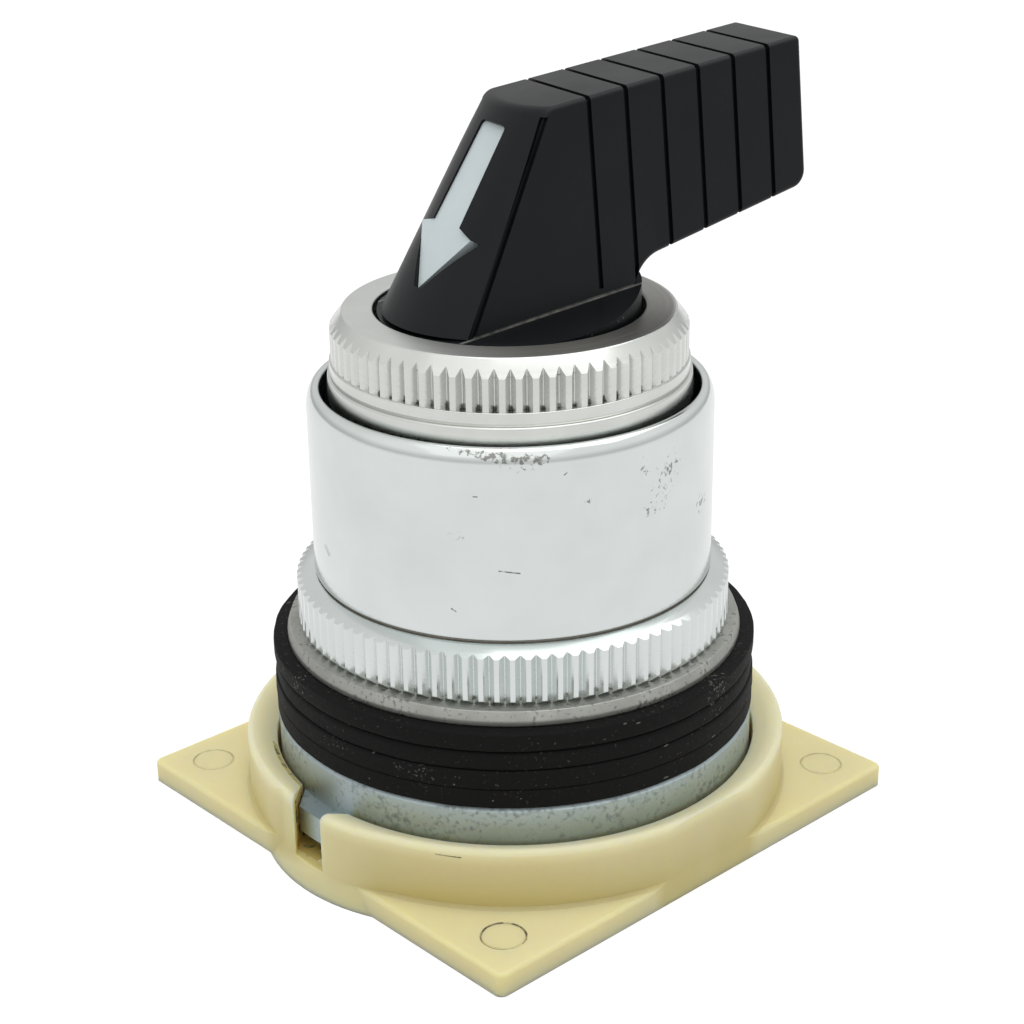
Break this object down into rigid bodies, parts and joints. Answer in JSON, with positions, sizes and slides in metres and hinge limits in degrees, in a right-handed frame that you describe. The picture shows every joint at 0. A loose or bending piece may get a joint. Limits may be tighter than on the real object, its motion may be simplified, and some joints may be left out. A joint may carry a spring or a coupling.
{
  "type": "selector switch operator",
  "caption": "Panel-mount selector switch operator: lever handle with an arrow, serrated bezel, guard ring nut, gaskets and a square nylon base.",
  "frame": {"origin": "centre of the base plate's underside, where contact blocks seat", "axes": "+Z along the switch axis out of the panel, base square to X and Y, key slot facing -Y, lever grip towards +Y"},
  "size_m": [0.0462, 0.0508, 0.0642],
  "materials": {
    "aged_nylon": "yellowed translucent nylon, moulded",
    "cast_zinc": "die-cast zinc, dull blue grey",
    "black_rubber": "black gasket rubber, dusty",
    "bright_plate": "bright plated metal",
    "dull_steel": "plated steel, dull",
    "spring_steel": "bare spring steel",
    "black_plastic": "black moulded plastic, satin",
    "pale_plastic": "bluish white plastic inlay",
    "white_acetal": "natural acetal, moulded"
  },
  "bodies": {
    "housing": {"mounting_base": "aged_nylon", "barrel_body": "cast_zinc", "gasket_1": "black_rubber", "gasket_2": "black_rubber", "gasket_3": "black_rubber", "gasket_4": "black_rubber", "bezel_ring": "bright_plate", "handle_seal": "black_rubber", "guide_plate": "white_acetal", "detent_spring_left": "spring_steel", "detent_spring_right": "spring_steel", "plunger_spring_left": "spring_steel", "plunger_spring_right": "spring_steel", "base_screws": "dull_steel"},
    "lever": {"lever_handle": "black_plastic", "arrow_inlay": "pale_plastic", "spindle": "dull_steel", "handle_pin": "dull_steel", "spindle_clip": "spring_steel", "index_wheel": "white_acetal", "cam": "white_acetal"},
    "plunger_left": {"plunger_left": "white_acetal"},
    "plunger_right": {"plunger_right": "white_acetal"},
    "washer": {"thrust_washer": "dull_steel"},
    "nut": {"ring_nut": "bright_plate"}
  },
  "joints": [
    {"name": "lever_turn", "type": "hinge", "parent": "housing", "child": "lever", "pos_m": [0, 0, 0.04472], "axis": [0, 0, 1], "range_deg": [-45, 45], "deforming": ["detent_spring_left", "detent_spring_right"]},
    {"name": "plunger_left_travel", "type": "slide", "parent": "housing", "child": "plunger_left", "axis": [0, 0, 1], "range_m": [-0.0015, 0.0015], "deforming": ["plunger_spring_left"]},
    {"name": "plunger_right_travel", "type": "slide", "parent": "housing", "child": "plunger_right", "axis": [0, 0, 1], "range_m": [-0.0015, 0.0015], "deforming": ["plunger_spring_right"]},
    {"name": "washer_travel", "type": "slide", "parent": "housing", "child": "washer", "axis": [0, 0, 1], "range_m": [0, 0.00601]},
    {"name": "nut_turn", "type": "hinge", "parent": "washer", "child": "nut", "pos_m": [0, 0, 0.02], "axis": [0, 0, 1], "range_deg": [0, 1440]}
  ],
  "couplings": [
    {"joint": "plunger_left_travel", "follows": "lever_turn", "m_per_rad": 0.0017958},
    {"joint": "plunger_right_travel", "follows": "lever_turn", "m_per_rad": -0.0017958},
    {"joint": "washer_travel", "follows": "nut_turn", "m_per_rad": 0.00023873}
  ]
}
